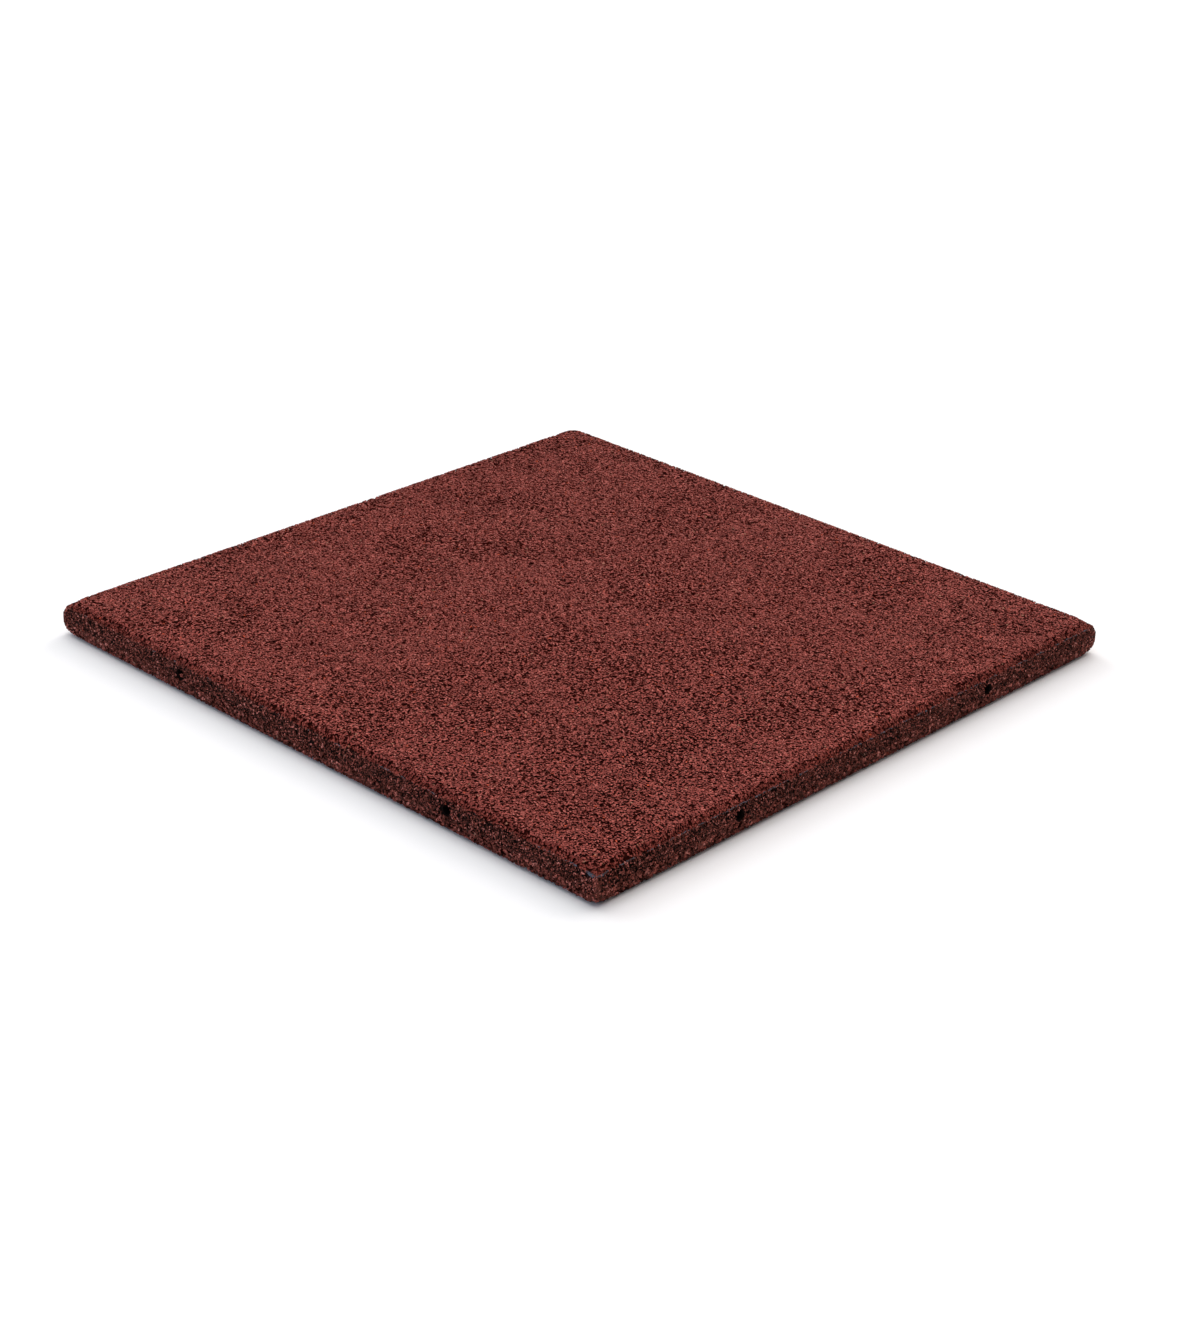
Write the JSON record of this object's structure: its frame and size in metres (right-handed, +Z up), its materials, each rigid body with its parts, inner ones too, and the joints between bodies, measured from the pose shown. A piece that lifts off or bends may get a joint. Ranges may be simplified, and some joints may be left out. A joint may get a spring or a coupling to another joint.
{
  "type": "rubber tile",
  "caption": "Square moulded crumb-rubber floor tile with a chamfered top edge and blind dowel sockets in its four sides.",
  "frame": {"origin": "centre of the underside, where the tile rests on its bed", "axes": "+Z up out of the walking surface, +X and +Y square to two neighbouring edges"},
  "size_m": [0.5, 0.5, 0.025],
  "materials": {
    "crumb_rubber": "matt pressed granulate, pigmented brick red"
  },
  "bodies": {
    "root": {"rubber_tile": "crumb_rubber"}
  },
  "joints": []
}
